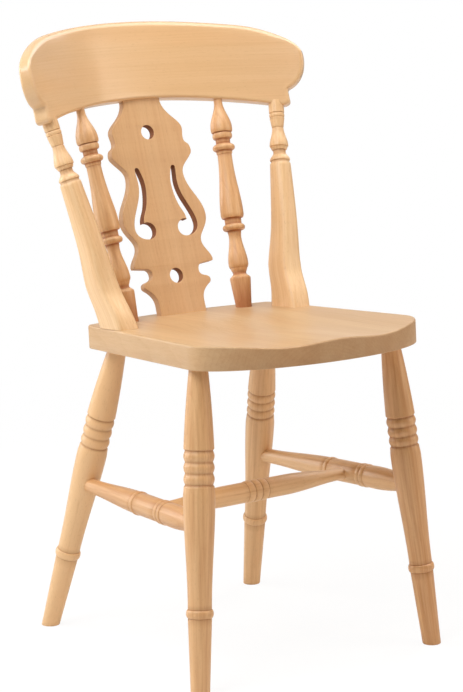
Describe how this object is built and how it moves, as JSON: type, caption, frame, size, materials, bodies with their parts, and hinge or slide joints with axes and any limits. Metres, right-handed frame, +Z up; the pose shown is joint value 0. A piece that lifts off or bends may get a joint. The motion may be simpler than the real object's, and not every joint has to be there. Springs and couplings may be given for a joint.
{
  "type": "fiddleback dining chair",
  "caption": "Wooden dining chair with a pierced fiddle-shaped back splat, curved crest rail, turned spindles, saddled seat and turned splayed legs joined by stretchers.",
  "frame": {"origin": "on the floor, under the middle of the bounding box", "axes": "+Z up, -Y towards the front of the chair, +X to the right as seen from the front"},
  "size_m": [0.4686, 0.5138, 0.8433],
  "materials": {
    "seat_beech": "clear satin lacquer",
    "turned_beech": "clear satin lacquer",
    "back_beech": "clear satin lacquer",
    "screw_steel": "bright zinc"
  },
  "bodies": {
    "root": {"seat": "seat_beech", "front_left_leg": "turned_beech", "front_right_leg": "turned_beech", "rear_left_leg": "turned_beech", "rear_right_leg": "turned_beech", "left_side_stretcher": "turned_beech", "right_side_stretcher": "turned_beech", "cross_stretcher": "turned_beech", "left_back_post": "turned_beech", "right_back_post": "turned_beech", "left_spindle": "turned_beech", "right_spindle": "turned_beech", "splat": "back_beech", "crest_rail": "back_beech", "left_post_screw": "screw_steel", "right_post_screw": "screw_steel"}
  },
  "joints": []
}
